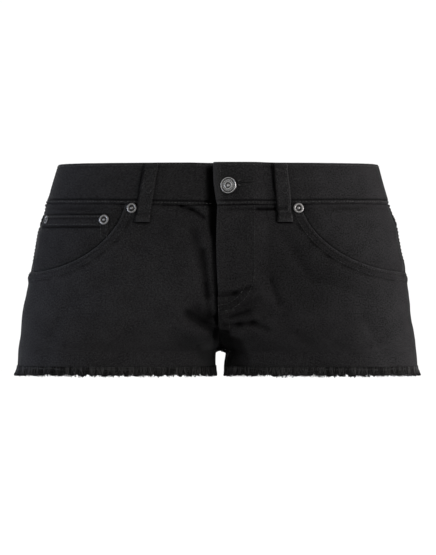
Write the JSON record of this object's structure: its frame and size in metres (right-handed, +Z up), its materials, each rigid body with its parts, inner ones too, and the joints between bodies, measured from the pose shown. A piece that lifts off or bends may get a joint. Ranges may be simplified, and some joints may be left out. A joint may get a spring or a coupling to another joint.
{
  "type": "denim shorts",
  "caption": "Low-rise, very short black denim shorts, filled out and hollow, with scooped front pockets, a lapped waistband with a button, belt loops and a frayed raw hem.",
  "frame": {"origin": "the middle of the waist opening, level with the waistband's upper edge", "axes": "+X to the wearer's left, -Y to the front, +Z up"},
  "size_m": [0.3889, 0.2306, 0.202],
  "materials": {
    "denim": "black twill, matt, slightly washed along seams",
    "fray": "loose cotton threads",
    "button_metal": "polished nickel with dark hollows",
    "rivet_metal": "polished nickel"
  },
  "bodies": {
    "root": {"waistband": "denim", "front_left": "denim", "front_right": "denim", "yoke_left": "denim", "yoke_right": "denim", "back_left": "denim", "back_right": "denim", "pocket_facing_left": "denim", "pocket_facing_right": "denim", "coin_pocket": "denim", "back_pocket_left": "denim", "back_pocket_right": "denim", "fly_shield": "denim", "belt_loop_front_left": "denim", "belt_loop_front_right": "denim", "belt_loop_side_left": "denim", "belt_loop_side_right": "denim", "belt_loop_back": "denim", "hem_fray_left": "fray", "hem_fray_right": "fray", "button": "button_metal", "rivet_pocket_left": "rivet_metal", "rivet_pocket_right": "rivet_metal", "rivet_coin_inner": "rivet_metal", "rivet_coin_outer": "rivet_metal"}
  },
  "joints": []
}
